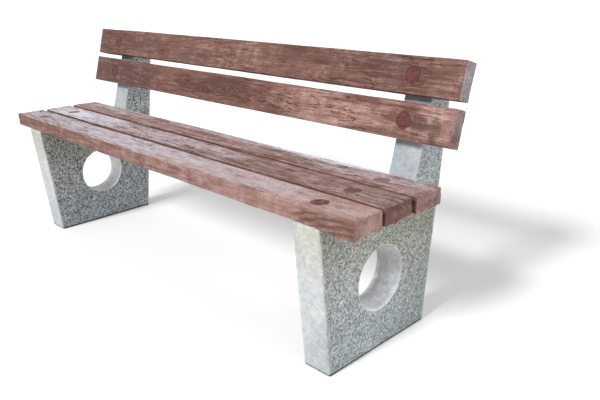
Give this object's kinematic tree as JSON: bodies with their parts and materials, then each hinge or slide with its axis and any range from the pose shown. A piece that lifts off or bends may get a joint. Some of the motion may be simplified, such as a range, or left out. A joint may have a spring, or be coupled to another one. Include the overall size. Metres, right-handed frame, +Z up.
{
  "type": "garden bench",
  "caption": "Backed garden bench: side frames with a round hole and a leaning post carry long, hewn-edged, timber-look planks for seat and back.",
  "frame": {"origin": "on the ground, at the middle of the bench's length and of its depth", "axes": "+X along the bench, to the right for someone who faces its front; +Y to the back; +Z up"},
  "size_m": [1.8, 0.5416, 0.7794],
  "materials": {
    "washed_concrete": "matte",
    "timber_look_concrete": "matte",
    "plug_mortar": "matte",
    "zinc_plated_steel": "satin",
    "reinforcing_steel": "matte"
  },
  "bodies": {
    "root": {"back_plank_lower": "timber_look_concrete", "back_plank_lower_bars": "reinforcing_steel", "back_plank_lower_bolt_left": "zinc_plated_steel", "back_plank_lower_bolt_right": "zinc_plated_steel", "back_plank_lower_plug_left": "plug_mortar", "back_plank_lower_plug_right": "plug_mortar", "back_plank_lower_socket_left": "zinc_plated_steel", "back_plank_lower_socket_right": "zinc_plated_steel", "back_plank_lower_washer_left": "zinc_plated_steel", "back_plank_lower_washer_right": "zinc_plated_steel", "back_plank_upper": "timber_look_concrete", "back_plank_upper_bars": "reinforcing_steel", "back_plank_upper_bolt_left": "zinc_plated_steel", "back_plank_upper_bolt_right": "zinc_plated_steel", "back_plank_upper_plug_left": "plug_mortar", "back_plank_upper_plug_right": "plug_mortar", "back_plank_upper_socket_left": "zinc_plated_steel", "back_plank_upper_socket_right": "zinc_plated_steel", "back_plank_upper_washer_left": "zinc_plated_steel", "back_plank_upper_washer_right": "zinc_plated_steel", "seat_plank_front": "timber_look_concrete", "seat_plank_front_bars": "reinforcing_steel", "seat_plank_front_bolt_left": "zinc_plated_steel", "seat_plank_front_bolt_right": "zinc_plated_steel", "seat_plank_front_plug_left": "plug_mortar", "seat_plank_front_plug_right": "plug_mortar", "seat_plank_front_socket_left": "zinc_plated_steel", "seat_plank_front_socket_right": "zinc_plated_steel", "seat_plank_front_washer_left": "zinc_plated_steel", "seat_plank_front_washer_right": "zinc_plated_steel", "seat_plank_middle": "timber_look_concrete", "seat_plank_middle_bars": "reinforcing_steel", "seat_plank_middle_bolt_left": "zinc_plated_steel", "seat_plank_middle_bolt_right": "zinc_plated_steel", "seat_plank_middle_plug_left": "plug_mortar", "seat_plank_middle_plug_right": "plug_mortar", "seat_plank_middle_socket_left": "zinc_plated_steel", "seat_plank_middle_socket_right": "zinc_plated_steel", "seat_plank_middle_washer_left": "zinc_plated_steel", "seat_plank_middle_washer_right": "zinc_plated_steel", "seat_plank_rear": "timber_look_concrete", "seat_plank_rear_bars": "reinforcing_steel", "seat_plank_rear_bolt_left": "zinc_plated_steel", "seat_plank_rear_bolt_right": "zinc_plated_steel", "seat_plank_rear_plug_left": "plug_mortar", "seat_plank_rear_plug_right": "plug_mortar", "seat_plank_rear_socket_left": "zinc_plated_steel", "seat_plank_rear_socket_right": "zinc_plated_steel", "seat_plank_rear_washer_left": "zinc_plated_steel", "seat_plank_rear_washer_right": "zinc_plated_steel", "side_frame_left": "washed_concrete", "side_frame_left_bar_cage": "reinforcing_steel", "side_frame_right": "washed_concrete", "side_frame_right_bar_cage": "reinforcing_steel"}
  },
  "joints": []
}
